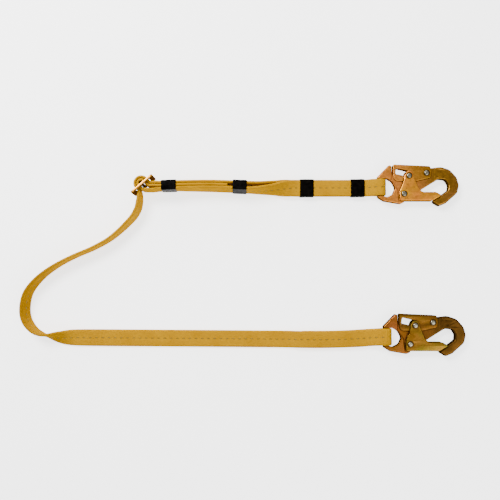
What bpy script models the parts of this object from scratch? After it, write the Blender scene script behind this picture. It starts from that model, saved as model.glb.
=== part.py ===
"""Adjustable shock absorbing lanyard: tubular webbing with a tearing core inside,
a three bar length adjuster, four keeper bands and a double locking snap hook at each end.
It lies on a flat surface; all driving sizes below are in millimetres."""
import math

import bpy
import bmesh
from mathutils import Matrix, Vector

MM = 0.001
LAYOUT_CENTRE = (-9.7, -15.2)       # moves the laid out lanyard over the origin

# webbing
WEB_HALF_WIDTH = 12.7
WEB_HALF_THICK = 2.1
JACKET_WALL = 1.2
CORE_HALF_WIDTH = 10.6
CORE_HALF_THICK = 0.6
PLY_PITCH = 4.5                     # centre to centre where plies lie on each other

# keepers
KEEPER_LENGTH = 22.0
KEEPER_WALL = 0.8
KEEPER_GAP = 0.3
KEEPERS_AT = (-122.0, -15.4, 86.8, 164.2)

# adjuster
ADJUSTER_AT = (-160.8, 96.8, 18.0)
ADJUSTER_TURN = 41.0                # degrees from +X to the long side of the frame
ADJUSTER_HALF = (20.5, 18.0)
ADJUSTER_THICK = 3.2
SLOT = (2.2, 13.0, 13.3)            # inner edge, outer edge, half height
FIXED_LOOP = 5.1
RUNNING_LOOP = 9.6
LOOP_STAND = 2.5                    # straight webbing between the bar and each half turn

# hooks
UPPER_HOOK = (198.3, 94.9)
LOWER_HOOK = (204.4, -131.0)
HOOK_HEIGHT = 9.0                   # middle plane above the surface it lies on
EYE_BAR = 4.2
EYE_LOOP = 6.6                      # webbing centreline round the eye bar
GATE_PIVOT = (34.8, -10.6)
LEVER_PIVOT = (69.6, 21.6)
LOCK_PIN = (42.6, 17.2)
PLATE_HALF = 3.5                    # body between the lever plates
BOW_HALF = 5.4
BOW_GROWTH = 13.0                   # the plate grows to the thick bow over this length
EYE_HALF = 4.6
LEVER_SHEET = (3.8, 5.6)
GATE_SHEET = (5.9, 7.7)
SHEET = 1.8
RIVET_SHANK = 2.5
PIN_SHANK = 2.0
RIVET_HEAD = (3.1, 4.8)             # radius of the dome and of the collar under it
HOLE_PLAY = 0.3

BODY_OUTLINE = (
    (-4.8, 15.6, 2.5), (13.6, 34.4, 2.5), (17.0, 32.6, 1.5), (17.3, 23.0, 4), (22, 12.1, 4),
    (47.5, 12.1, 4), (60.5, 25.0, 4), (76, 29.3, 6), (92, 31.2, 12), (105.5, 26.8, 12),
    (116.0, 15.0, 12), (119.2, 3.0, 10), (116.4, -9.0, 10), (98.3, -25.0, 9),
    (88.0, -29.2, 4), (77.0, -22.4, 2.6), (83.5, -17.4, 3), (92.0, -11.8, 5),
    (101.8, -4.6, 5), (102.4, 3.2, 6), (98.0, 11.0, 6), (87.6, 11.9, 7), (60.0, -5.2, 1.8),
    (46.0, -11.0, 3), (41.0, -17.3, 5), (36.6, -17.6, 1.2), (35.6, -23.2, 1.5),
    (29.8, -25.8, 3), (4.7, -21.6, 5), (-4.8, -15.6, 2.5))
BOW_OUTLINE = (
    (79.4, 29.7, 0), (92, 31.2, 12), (105.5, 26.8, 12), (116.0, 15.0, 12), (119.2, 3.0, 10),
    (116.4, -9.0, 10), (98.3, -25.0, 9), (88.0, -29.2, 4), (77.0, -22.4, 2.6),
    (83.5, -17.4, 3), (92.0, -11.8, 5), (101.8, -4.6, 5), (102.4, 3.2, 6), (98.0, 11.0, 6),
    (87.6, 11.9, 7), (79.4, 6.9, 0))
EYE_OUTLINE = (
    (-4.8, 15.6, 2.5), (13.6, 34.4, 2.5), (17.0, 32.6, 1.5), (17.0, 11.0, 4), (26.0, -2.5, 5),
    (28.5, -25.6, 2.5), (4.7, -21.6, 5), (-4.8, -15.6, 2.5))
EYE_OPENING = ((-9, 13.2, 0), (9.0, 13.2, 1.5), (16.8, 9.0, 6), (22.4, -1.6, 7),
               (18.0, -11.0, 6), (9.4, -15.2, 2), (4.0, -13.3, 0.8), (-9, -13.2, 0))
LEVER_OUTLINE = (
    (19.0, 34.7, 2.2), (74.6, 32.1, 2.2), (77.6, 25.5, 4), (76.2, 14.2, 4), (54.0, 9.2, 8),
    (19.0, 9.0, 6.5))
LEVER_WINDOW = (
    (23.4, 29.0, 2.0), (22.4, 20.0, 2.2), (32.4, 18.0, 2.0), (44.4, 13.7, 2.6), (46.3, 19.1, 2.6),
    (39.6, 25.2, 2.0))
GATE_OUTLINE = (
    (39.0, 24.6, 5), (35.6, 16.6, 5), (33.6, 6.0, 6), (28.6, -4.5, 6), (28.0, -20.9, 2.5),
    (78.0, -20.9, 2.0), (90.4, -13.8, 1.2), (89.8, -11.6, 1.0), (82.6, -7.6, 4),
    (62.5, -7.9, 6), (56.2, -1.5, 7), (49.4, 15.5, 6), (47.2, 24.6, 5))

# route of the strand seen from above: x, y, height, lean of the width, outer ply distance
STRAND = (
    (-147.8, 94.7, 18.0, 90, 10.7), (-133.0, 95.4, 17.5, 90, 9.1), (-111.0, 96.3, 16.6, 88, 9.0),
    (-90.0, 96.4, 15.9, 85, 9.0), (-60.0, 96.3, 15.0, 82, 9.0), (-30.0, 95.4, 14.9, 81, 9.0),
    (-4.0, 94.3, 14.9, 80, 9.0), (15.0, 93.6, 14.2, 72, 7.8), (38.0, 93.7, 12.5, 53, 6.0),
    (57.0, 93.9, 9.0, 18, 4.9), (70.0, 94.1, 6.3, 2, 4.5), (78.0, 94.1, 5.8, 0, 4.5),
    (98.0, 94.1, 5.8, 0, 4.5), (154.0, 94.1, 5.8, 0, 4.5), (176.0, 94.4, 5.9, 0, 4.6))
# route of the leg from the lower hook: x, y, height, lean
LEG = (
    (196.0, -131.2, 14.5, 0), (187.0, -131.9, 10.8, 0), (176.0, -133.0, 7.3, 0),
    (164.0, -134.0, 6.9, 0), (115.0, -135.5, 6.9, 0), (77.0, -135.4, 6.8, 0),
    (59.0, -135.2, 3.8, 0), (44.0, -135.1, 2.4, 0), (-76.0, -134.1, 2.4, 0),
    (-230.0, -133.0, 2.6, 2), (-264.0, -132.4, 5.5, 14), (-288.0, -131.4, 10.5, 48),
    (-309.0, -128.0, 12.9, 86), (-323.4, -121.0, 12.9, 97), (-334.6, -106.3, 12.9, 103),
    (-337.8, -88.0, 12.9, 104), (-332.8, -64.2, 12.9, 102), (-315.6, -42.3, 12.9, 98),
    (-291.5, -24.3, 12.9, 94), (-263.8, -9.8, 12.9, 92), (-235.2, 2.6, 12.9, 92),
    (-207.9, 18.7, 12.9, 93), (-178.4, 46.4, 13.6, 98), (-169.4, 60.6, 15.0, 100),
    (-166.6, 72.0, 16.6, 99), (-165.8, 80.5, 17.5, 95), (-165.8, 86.0, 18.0, 91),
    (-166.75, 89.0, 18.0, 90))
TAIL = ((79.0, -135.4, 2.4, 0), (134.0, -135.0, 2.4, 0), (184.0, -132.2, 2.4, 0))
CORE_SPAN = (-172.0, 160.0)         # the core lies in the leg between these x

for old in list(bpy.data.objects):
    bpy.data.objects.remove(old, do_unlink=True)

scene = bpy.context.scene
parts = bpy.data.collections.new("shock absorbing lanyard")
cutters = bpy.data.collections.new("cutters")
scene.collection.children.link(parts)
scene.collection.children.link(cutters)
cutters.hide_render = True


def material(name, colour, metallic, roughness):
    made = bpy.data.materials.new(name)
    made.use_nodes = True
    shader = made.node_tree.nodes["Principled BSDF"]
    shader.inputs["Base Color"].default_value = (*colour, 1.0)
    shader.inputs["Metallic"].default_value = metallic
    shader.inputs["Roughness"].default_value = roughness
    return made


def at_layout(x, y, z=0.0):
    return Vector((x - LAYOUT_CENTRE[0], y - LAYOUT_CENTRE[1], z)) * MM


def finish(obj, colour, metallic, roughness, pivot, at):
    """Gives the piece its material and moves its origin to the pivot."""
    obj.data.materials.append(material(obj.name, colour, metallic, roughness))
    place(obj, pivot, at)
    parts.objects.link(obj)
    return obj


def place(obj, pivot, at):
    shift = Vector((pivot[0], pivot[1], 0.0)) * MM
    obj.data.transform(Matrix.Translation(-shift))
    obj.location = at + shift


def as_cutter(obj, at):
    obj.location = at
    obj.display_type = "WIRE"
    obj.hide_render = True
    cutters.objects.link(obj)
    return obj


def rounded(corners):
    """Closed outline in millimetres from corners (x, y, radius)."""
    points = []
    count = len(corners)
    for i, (x, y, radius) in enumerate(corners):
        corner = Vector((x, y))
        back = Vector(corners[i - 1][:2]) - corner
        ahead = Vector(corners[(i + 1) % count][:2]) - corner
        angle = back.angle(ahead)
        if radius <= 0 or angle > math.radians(177):
            points.append(corner)
            continue
        reach = min(radius / math.tan(angle / 2), 0.48 * min(back.length, ahead.length))
        radius = reach * math.tan(angle / 2)
        middle = corner + (back.normalized() + ahead.normalized()).normalized() * (
            radius / math.sin(angle / 2))
        start = corner + back.normalized() * reach - middle
        sweep = start.angle_signed(corner + ahead.normalized() * reach - middle)
        steps = max(1, round(abs(sweep) / math.radians(17)))
        for k in range(steps + 1):
            points.append(middle + Matrix.Rotation(-sweep * k / steps, 2) @ start)
    return points


def ring(x, y, radius, steps=20):
    turn = 2 * math.pi / steps
    return [Vector((x + radius * math.cos(i * turn), y + radius * math.sin(i * turn)))
            for i in range(steps)]


def plate(name, outlines, half, bevel=0.0, rounds=0):
    """Flat piece between -half and +half from closed outlines, later ones are holes."""
    curve = bpy.data.curves.new(name, "CURVE")
    curve.dimensions = "2D"
    curve.fill_mode = "BOTH"
    curve.extrude = (half - bevel) * MM
    curve.bevel_depth = bevel * MM
    curve.bevel_resolution = rounds
    curve.offset = -bevel * MM
    for points in outlines:
        spline = curve.splines.new("POLY")
        spline.points.add(len(points) - 1)
        for knot, point in zip(spline.points, points):
            knot.co = (point.x * MM, point.y * MM, 0.0, 1.0)
        spline.use_cyclic_u = True
    holder = bpy.data.objects.new(name + " curve", curve)
    mesh = bpy.data.meshes.new_from_object(holder)
    bpy.data.objects.remove(holder)
    bm = bmesh.new()
    bm.from_mesh(mesh)
    bmesh.ops.remove_doubles(bm, verts=bm.verts, dist=0.00001)
    bmesh.ops.recalc_face_normals(bm, faces=bm.faces)
    bm.to_mesh(mesh)
    bm.free()
    mesh.name = name
    return bpy.data.objects.new(name, mesh)


def turned(name, profile, steps=20):
    """Solid of revolution about Z from (radius, z) rows that start and end on the axis."""
    mesh = bpy.data.meshes.new(name)
    bm = bmesh.new()
    knots = [bm.verts.new((r * MM, 0.0, z * MM)) for r, z in profile]
    edges = [bm.edges.new(pair) for pair in zip(knots, knots[1:])]
    bmesh.ops.spin(bm, geom=knots + edges, cent=(0, 0, 0), axis=(0, 0, 1),
                   angle=2 * math.pi, steps=steps, use_merge=True)
    bmesh.ops.remove_doubles(bm, verts=bm.verts, dist=0.00001)
    bmesh.ops.recalc_face_normals(bm, faces=bm.faces)
    bm.to_mesh(mesh)
    bm.free()
    return bpy.data.objects.new(name, mesh)


def cylinder(name, radius, half, steps=20):
    return turned(name, ((0, -half), (radius, -half), (radius, half), (0, half)), steps)


def combine(obj, other, operation, at):
    """Adds an exact Boolean with another piece given in the same millimetre frame."""
    change = obj.modifiers.new(other.name, "BOOLEAN")
    change.operation = operation
    change.solver = "EXACT"
    change.object = as_cutter(other, at)


def smooth(rows, spacing=0.5):
    """Hermite curve through rows whose first three numbers are a position."""
    rows = [tuple(float(v) for v in row) for row in rows]
    run = [0.0]
    for a, b in zip(rows, rows[1:]):
        run.append(run[-1] + max(1e-6, math.dist(a[:3], b[:3])))
    last = len(rows) - 1
    slopes = []
    for i in range(len(rows)):
        lo, hi = max(0, i - 1), min(last, i + 1)
        slopes.append([(b - a) / (run[hi] - run[lo]) for a, b in zip(rows[lo], rows[hi])])
    out = []
    for i in range(last):
        span = run[i + 1] - run[i]
        steps = max(1, round(span / spacing))
        for k in range(steps):
            t = k / steps
            h = (2 * t**3 - 3 * t**2 + 1, t**3 - 2 * t**2 + t, -2 * t**3 + 3 * t**2, t**3 - t**2)
            out.append(tuple(h[0] * a + h[1] * span * m + h[2] * b + h[3] * span * n
                             for a, m, b, n in zip(rows[i], slopes[i], rows[i + 1], slopes[i + 1])))
    out.append(rows[-1])
    return out


def lay(rows, hand):
    """Samples (point, width direction); the width starts on the left (+1) or right (-1)."""
    line = smooth(rows)
    out = []
    for i, row in enumerate(line):
        a, b = line[max(0, i - 1)], line[min(len(line) - 1, i + 1)]
        ahead = Vector((b[0] - a[0], b[1] - a[1])).normalized()
        lean = math.radians(row[3])
        side = Vector((-ahead.y, ahead.x, 0.0)) * hand
        out.append((Vector(row[:3]), side * math.cos(lean) + Vector((0, 0, math.sin(lean)))))
    return out


def eye_loop(hook, first, last):
    """Half turn round the eye bar in the XZ plane between two angles in degrees."""
    middle = Vector((*hook, HOOK_HEIGHT))
    out = []
    for k in range(37):
        a = math.radians(first + (last - first) * k / 36)
        out.append((middle + Vector((math.cos(a), 0, math.sin(a))) * EYE_LOOP,
                    Vector((0, 1, 0))))
    return out


TURN = math.radians(ADJUSTER_TURN)
ALONG = Vector((math.cos(TURN), math.sin(TURN), 0.0))
OUT = Vector((math.sin(TURN), -math.cos(TURN), 0.0))
UPRIGHT = Vector((0.0, 0.0, 1.0))


def bar_loop(radius):
    """Half turn round the centre bar, from the first slot to the second."""
    middle = Vector(ADJUSTER_AT) - OUT * LOOP_STAND
    out = [(Vector(ADJUSTER_AT) - ALONG * radius + OUT * 2.0, UPRIGHT)]
    for k in range(37):
        a = math.radians(k * 5)
        out.append((middle - ALONG * radius * math.cos(a) - OUT * radius * math.sin(a), UPRIGHT))
    return out + [(Vector(ADJUSTER_AT) + ALONG * radius + OUT * 2.0, UPRIGHT)]


def slot_bend(loop_side, radius):
    """Arc in plan from straight out of a slot round to +X."""
    start = Vector(ADJUSTER_AT) + ALONG * loop_side + OUT * 2.0
    left = Vector((-OUT.y, OUT.x, 0.0))
    middle = start + left * radius
    full = math.radians(90.0 - ADJUSTER_TURN)
    out = []
    for k in range(1, 13):
        out.append((middle + Matrix.Rotation(full * k / 12, 3, "Z") @ (-left * radius), UPRIGHT))
    return out


def strand_rows(place_in_stack):
    """Rows of one ply; -0.5 is the first outer ply, 0 the middle one, 0.5 the other."""
    rows = []
    for x, y, z, lean, apart in STRAND:
        a = math.radians(lean)
        off = apart * place_in_stack
        rows.append((x, y - math.sin(a) * off, z + math.cos(a) * off, lean))
    return rows


def webbing_samples():
    """The one piece of webbing from the lower sewn tail to the tail at the adjuster."""
    lower_x, lower_y = LOWER_HOOK
    upper_x, upper_y = UPPER_HOOK
    low, high = HOOK_HEIGHT - EYE_LOOP, HOOK_HEIGHT + EYE_LOOP
    tail = lay(TAIL + ((lower_x, lower_y, low, 0),), 1)
    leg = lay(((lower_x, lower_y, high, 0),) + LEG, -1)
    first = strand_rows(-0.5) + [(189, upper_y, 2.9, 0), (196, upper_y, low + 0.05, 0),
                                 (upper_x, upper_y, low, 0)]
    second = [(upper_x, upper_y, high, 0), (193, upper_y, 14.6, 0), (185, upper_y, 11.6, 0)]
    second += strand_rows(0.5)[::-1]
    middle = [(x, y + (0.9 if x < -140 else 0.0), z, lean)
              for x, y, z, lean in strand_rows(0.0) if x < -30]
    middle.append((-34.0, *strand_rows(0.0)[5][1:]))
    return (tail, eye_loop(LOWER_HOOK, -90, 90), leg, bar_loop(RUNNING_LOOP),
            slot_bend(RUNNING_LOOP, 4.5), lay(first, 1), eye_loop(UPPER_HOOK, -90, 90),
            lay(second, -1), slot_bend(-FIXED_LOOP, 7.0)[::-1], bar_loop(FIXED_LOOP),
            slot_bend(FIXED_LOOP, 9.0), lay(middle, 1))


def framed(samples):
    """Stations (point, width, normal) with square frames, without doubled points."""
    line = [samples[0]]
    for point, width in samples[1:]:
        if (point - line[-1][0]).length > 0.15:
            line.append((point, width))
    out = []
    for i, (point, width) in enumerate(line):
        ahead = (line[min(len(line) - 1, i + 1)][0] - line[max(0, i - 1)][0]).normalized()
        width = (width - ahead * width.dot(ahead)).normalized()
        out.append((point, width, ahead.cross(width)))
    return out


def thinned(stations, turn, slight, reach):
    """Keeps a station at each turn, and at each slight turn once it is reach / 3 away."""
    kept = [stations[0]]
    for here, ahead in zip(stations[1:], stations[2:]):
        point, width, normal = kept[-1]
        bend = max(ahead[1].angle(width), ahead[2].angle(normal))
        away = (here[0] - point).length
        if bend > turn or away > reach or (bend > slight and away > reach / 3):
            kept.append(here)
    return kept + [stations[-1]]


def sweep(name, stations, outer, inner=None):
    """Closed strip through the stations; sections are (across, through) rows."""
    mesh = bpy.data.meshes.new(name)
    bm = bmesh.new()
    loops = []
    for section in filter(None, (outer, inner)):
        loops.append([[bm.verts.new(at_layout(*(point + width * a + normal * b)))
                       for a, b in section] for point, width, normal in stations])
    for rows in loops:
        for one, two in zip(rows, rows[1:]):
            for i in range(len(one)):
                bm.faces.new((one[i - 1], one[i], two[i], two[i - 1]))
    for end in (0, -1):
        if inner:
            a, b = loops[0][end], loops[1][end]
            for i in range(len(a)):
                bm.faces.new((a[i - 1], a[i], b[i], b[i - 1]))
        else:
            bm.faces.new(loops[0][end])
    bmesh.ops.recalc_face_normals(bm, faces=bm.faces)
    bm.to_mesh(mesh)
    bm.free()
    return bpy.data.objects.new(name, mesh)


def folded(half_across, half_through, corner):
    """Flat tube with folded edges as (across, through) rows."""
    a, b, c = half_across, half_through, corner
    return (a, 0), (a - c, b), (c - a, b), (-a, 0), (c - a, -b), (a - c, -b)


def section(half_across, half_through, corner):
    """Rectangle with cut corners as (across, through) rows."""
    a, b, c = half_across, half_through, corner
    return ((a, b - c), (a - c, b), (c - a, b), (-a, b - c),
            (-a, c - b), (c - a, -b), (a - c, -b), (a, c - b))


def build_webbing():
    samples = [s for run in webbing_samples() for s in run]
    stations = thinned(framed(samples), math.radians(10), math.radians(2), 36.0)
    jacket = sweep("webbing_jacket", stations,
                   folded(WEB_HALF_WIDTH, WEB_HALF_THICK, 1.0),
                   folded(WEB_HALF_WIDTH - JACKET_WALL, WEB_HALF_THICK - JACKET_WALL, 0.6))
    finish(jacket, (0.72, 0.42, 0.03), 0.0, 0.85, (0, 0), Vector())
    lower, upper = CORE_SPAN
    top = next(i for i, s in enumerate(stations) if s[0].z > HOOK_HEIGHT)
    first = next(i for i in range(top, len(stations)) if stations[i][0].x < upper)
    last = next(i for i in range(first, len(stations))
                if stations[i][0].x > lower and stations[i][0].y > 50)
    core = sweep("shock_core", stations[first:last + 1],
                 ((CORE_HALF_WIDTH, CORE_HALF_THICK), (-CORE_HALF_WIDTH, CORE_HALF_THICK),
                  (-CORE_HALF_WIDTH, -CORE_HALF_THICK), (CORE_HALF_WIDTH, -CORE_HALF_THICK)))
    finish(core, (0.75, 0.72, 0.62), 0.0, 0.9, (0, 0), Vector())


def build_keepers():
    rows = strand_rows(0.0)
    line = framed(lay(rows, 1))
    for number, centre in enumerate(KEEPERS_AT, start=1):
        near = [s for s in line if abs(s[0].x - centre) <= KEEPER_LENGTH / 2]
        plies = 3 if centre < 0 else 2
        across = WEB_HALF_WIDTH + KEEPER_GAP
        through = WEB_HALF_THICK + PLY_PITCH * (plies - 1) / 2 + KEEPER_GAP
        stations = near[::10] + [near[-1]] if (len(near) - 1) % 10 else near[::10]
        keeper = sweep(f"keeper_{number}", stations,
                       section(across + KEEPER_WALL, through + KEEPER_WALL, 1.6),
                       section(across, through, 0.9))
        finish(keeper, (0.015, 0.014, 0.013), 0.0, 0.35, (0, 0), Vector())


def build_adjuster():
    inner, outer, high = SLOT
    wide, tall = ADJUSTER_HALF
    frame_edge = rounded([(wide, tall, 4), (-wide, tall, 4), (-wide, -tall, 4), (wide, -tall, 4)])
    slots = [rounded([(s * inner, high, 1.2), (s * outer, high, 2.5),
                      (s * outer, -high, 2.5), (s * inner, -high, 1.2)]) for s in (1, -1)]
    obj = plate("adjuster_frame", [frame_edge] + slots, ADJUSTER_THICK / 2, 0.5)
    stand = Matrix((ALONG, UPRIGHT, OUT)).transposed().to_4x4()
    obj.data.transform(stand)
    finish(obj, (0.75, 0.50, 0.14), 1.0, 0.35, (0, 0), at_layout(*ADJUSTER_AT))


def build_body(prefix, at):
    name = prefix + "_hook_body"
    obj = plate(name, [rounded(BODY_OUTLINE)], PLATE_HALF, 0.8)
    bow = plate(name + " bow", [rounded(BOW_OUTLINE)], BOW_HALF, 1.6)
    for vert in bow.data.vertices:
        if vert.co.y > 0:
            grown = min(1.0, max(0.0, (vert.co.x / MM - BOW_OUTLINE[0][0]) / BOW_GROWTH))
            vert.co.z *= (PLATE_HALF - 0.2 + (BOW_HALF - PLATE_HALF + 0.2) * grown) / BOW_HALF
    combine(obj, bow, "UNION", at)
    combine(obj, plate(name + " eye", [rounded(EYE_OUTLINE)], EYE_HALF, 1.0), "UNION", at)
    boss = cylinder(name + " boss", 7.0, LEVER_SHEET[1], 24)
    boss.data.transform(Matrix.Translation(Vector((*GATE_PIVOT, 0)) * MM))
    combine(obj, boss, "UNION", at)
    combine(obj, plate(name + " opening", [rounded(EYE_OPENING)], 12), "DIFFERENCE", at)
    bar = cylinder(name + " bar", EYE_BAR, 15.0, 20)
    bar.data.transform(Matrix.Rotation(math.radians(90), 4, "X"))
    combine(obj, bar, "UNION", at)
    for label, centre in (("gate hole", GATE_PIVOT), ("lever hole", LEVER_PIVOT)):
        hole = cylinder(f"{name} {label}", RIVET_SHANK + HOLE_PLAY, 12)
        hole.data.transform(Matrix.Translation(Vector((*centre, 0)) * MM))
        combine(obj, hole, "DIFFERENCE", at)
    finish(obj, (0.62, 0.36, 0.12), 1.0, 0.35, (0, 0), at)


def build_gate(prefix, at):
    name = prefix + "_gate"
    holes = [ring(*GATE_PIVOT, RIVET_SHANK + HOLE_PLAY), ring(*LOCK_PIN, PIN_SHANK + HOLE_PLAY, 16)]
    obj = plate(name, [rounded(GATE_OUTLINE)] + holes, GATE_SHEET[1], 0.4)
    fold = -20.9 + SHEET
    room = [(10, 45), (110, 45), (110, -40), (76.4, -40), (76.4, fold), (37.4, fold),
            (37.4, -40), (10, -40)]
    inside = plate(name + " inside", [[Vector(p) for p in room]], GATE_SHEET[0])
    combine(obj, inside, "DIFFERENCE", at)
    finish(obj, (0.70, 0.44, 0.15), 1.0, 0.35, GATE_PIVOT, at)


def build_lever(prefix, at):
    name = prefix + "_lock_lever"
    holes = [ring(*LEVER_PIVOT, RIVET_SHANK + HOLE_PLAY), rounded(LEVER_WINDOW)]
    obj = plate(name, [rounded(LEVER_OUTLINE)] + holes, LEVER_SHEET[1], 0.4)
    (x0, y0, _), (x1, y1, _) = LEVER_OUTLINE[:2]
    slope = (y1 - y0) / (x1 - x0)
    room = [(x, y0 - SHEET + slope * (x - x0)) for x in (5, 110)] + [(110, -40), (5, -40)]
    inside = plate(name + " inside", [[Vector(p) for p in room]], LEVER_SHEET[0])
    combine(obj, inside, "DIFFERENCE", at)
    finish(obj, (0.70, 0.44, 0.15), 1.0, 0.35, LEVER_PIVOT, at)


def build_rivet(name, centre, shank, under, at):
    """Pin with a domed head on a collar at both ends."""
    dome, collar = RIVET_HEAD
    rows = ((0, -under - 1.0), (dome * 0.7, -under - 0.95), (dome, -under - 0.65),
            (dome, -under - 0.35), (collar, -under - 0.25), (collar, -under), (shank, -under))
    profile = rows + tuple((r, -z) for r, z in rows[::-1])
    obj = turned(name, profile)
    obj.data.transform(Matrix.Translation(Vector((*centre, 0)) * MM))
    finish(obj, (0.78, 0.74, 0.66), 1.0, 0.3, centre, at)


def build_spring(prefix, at):
    """Torsion spring on the lock pin with two short legs."""
    wire, radius, turns, half = 0.45, 2.9, 4, 2.3
    start, steps = math.radians(290), 14 * turns
    points = []
    for k in range(steps + 1):
        a = start + 2 * math.pi * (turns + 0.3) * k / steps
        points.append((radius * math.cos(a), radius * math.sin(a), -half + 2 * half * k / steps))
    for end, index in ((points[0], 0), (points[-1], 1)):
        a = math.atan2(end[1], end[0])
        side = -1 if index == 0 else 1
        leg = (end[0] - side * 4.2 * math.sin(a), end[1] + side * 4.2 * math.cos(a), end[2])
        points.insert(0, leg) if index == 0 else points.append(leg)
    curve = bpy.data.curves.new(prefix + "_spring", "CURVE")
    curve.dimensions = "3D"
    curve.bevel_depth = wire * MM
    curve.bevel_resolution = 1
    curve.use_fill_caps = True
    spline = curve.splines.new("POLY")
    spline.points.add(len(points) - 1)
    for knot, point in zip(spline.points, points):
        knot.co = (*(Vector(point) * MM), 1.0)
    holder = bpy.data.objects.new(prefix + " spring curve", curve)
    mesh = bpy.data.meshes.new_from_object(holder)
    bpy.data.objects.remove(holder)
    bm = bmesh.new()
    bm.from_mesh(mesh)
    bmesh.ops.remove_doubles(bm, verts=bm.verts, dist=0.00001)
    bmesh.ops.recalc_face_normals(bm, faces=bm.faces)
    bm.to_mesh(mesh)
    bm.free()
    mesh.transform(Matrix.Translation(Vector((*LOCK_PIN, 0)) * MM))
    obj = bpy.data.objects.new(prefix + "_spring", mesh)
    finish(obj, (0.55, 0.54, 0.52), 1.0, 0.3, LOCK_PIN, at)


def build_hook(prefix, position):
    at = at_layout(*position, HOOK_HEIGHT)
    build_body(prefix, at)
    build_gate(prefix, at)
    build_lever(prefix, at)
    build_rivet(prefix + "_gate_rivet", GATE_PIVOT, RIVET_SHANK, GATE_SHEET[1] + HOLE_PLAY, at)
    build_rivet(prefix + "_lock_pin", LOCK_PIN, PIN_SHANK, GATE_SHEET[1] + HOLE_PLAY, at)
    build_rivet(prefix + "_lever_rivet", LEVER_PIVOT, RIVET_SHANK, LEVER_SHEET[1] + HOLE_PLAY, at)
    build_spring(prefix, at)


build_webbing()
build_keepers()
build_adjuster()
build_hook("upper", UPPER_HOOK)
build_hook("lower", LOWER_HOOK)
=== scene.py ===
"""Looks of the shock absorbing lanyard: woven webbing with its stitching, vinyl keepers,
and plated steel for the adjuster and the two double locking snap hooks.
All sizes are millimetres, turned into metres where geometry is made."""
import math

import bpy
import bmesh
from mathutils import Matrix, Vector, noise


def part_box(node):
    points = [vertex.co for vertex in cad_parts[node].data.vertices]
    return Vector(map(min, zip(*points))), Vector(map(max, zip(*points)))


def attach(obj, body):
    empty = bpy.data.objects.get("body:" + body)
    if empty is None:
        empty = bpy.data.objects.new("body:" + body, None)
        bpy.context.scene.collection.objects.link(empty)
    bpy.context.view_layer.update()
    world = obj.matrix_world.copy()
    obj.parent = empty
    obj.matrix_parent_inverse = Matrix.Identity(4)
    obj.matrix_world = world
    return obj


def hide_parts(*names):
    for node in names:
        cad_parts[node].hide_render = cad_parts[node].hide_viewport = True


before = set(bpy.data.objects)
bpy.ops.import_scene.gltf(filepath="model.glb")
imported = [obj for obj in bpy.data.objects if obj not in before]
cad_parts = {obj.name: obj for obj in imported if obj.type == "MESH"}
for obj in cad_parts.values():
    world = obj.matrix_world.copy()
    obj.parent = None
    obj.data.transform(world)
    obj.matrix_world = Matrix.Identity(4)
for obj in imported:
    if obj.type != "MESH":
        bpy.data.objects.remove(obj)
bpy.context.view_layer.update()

MM = 0.001
LAYOUT_CENTRE = (-9.7, -15.2)       # the same shift as in the CAD source

# camera
CAMERA_AIM = (9.7, 15.2, 0.0)
CAMERA_ELEVATION = 87.0
CAMERA_DISTANCE = 889.0
CAMERA_LENS = 41.8

# webbing
WEB_HALF_WIDTH = 12.7
WEB_HALF_THICK = 2.1
PLY_PITCH = 4.5
RIB = 1.15                          # width of one woven rib
PICK = 1.7                          # length of one weft pick
STITCH_PITCH = 9.4
STITCH_LENGTH = 5.0
STITCH_WIDTH = 1.6
STITCH_HEIGHT = 0.42
GROOVE_DEPTH = 0.34
GROOVE_WIDTH = 1.5
BEND_SHADE_SPAN = (-0.345, -0.255)           # world X over which the painted shade on the outer bend fades out

# keepers
KEEPER_LENGTH = 22.0
KEEPER_WALL = 0.8
KEEPER_GAP = 0.3
KEEPERS_AT = (-122.0, -15.4, 86.8, 164.2)

# adjuster
ADJUSTER_AT = (-160.8, 96.8, 18.0)
ADJUSTER_TURN = 41.0                # degrees from +X to the long side of the frame
ADJUSTER_HALF = (20.5, 18.0)
ADJUSTER_THICK = 3.2
SLOT = (2.2, 13.0, 13.3)            # inner edge, outer edge, half height
FIXED_LOOP = 5.1
RUNNING_LOOP = 9.6
LOOP_STAND = 2.5                    # straight webbing between the bar and each half turn

# hooks
UPPER_HOOK = (198.3, 94.9)
LOWER_HOOK = (204.4, -131.0)
HOOK_HEIGHT = 9.0                   # middle plane above the surface it lies on
EYE_BAR = 4.2
EYE_LOOP = 6.6                      # webbing centreline round the eye bar
GATE_PIVOT = (34.8, -10.6)
LEVER_PIVOT = (69.6, 21.6)
LOCK_PIN = (42.6, 17.2)
PLATE_HALF = 3.5                    # body between the lever plates
BOW_HALF = 5.4
BOW_GROWTH = 13.0                   # the plate grows to the thick bow over this length
EYE_HALF = 4.6
LEVER_SHEET = (3.8, 5.6)
GATE_SHEET = (5.9, 7.7)
SHEET = 1.8
RIVET_SHANK = 2.5
PIN_SHANK = 2.0
RIVET_HEAD = (3.1, 4.8)             # radius of the dome and of the collar under it
HOLE_PLAY = 0.3
BODY_EDGE = 1.5                     # rounding of the forged and the sheared edges
BOW_EDGE = 2.8
EYE_EDGE = 2.0
SHEET_EDGE = 0.9
FORGE_VOXEL = 0.45
FORGE_PASSES = 4
GATE_FOLD = -20.9                   # outer face of the gate's floor, and its two ends
GATE_FLOOR = (37.4, 76.4)
HOOK_FADE = (0.235, 0.290)          # world X over which the tint drifts from eye to bow

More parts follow.
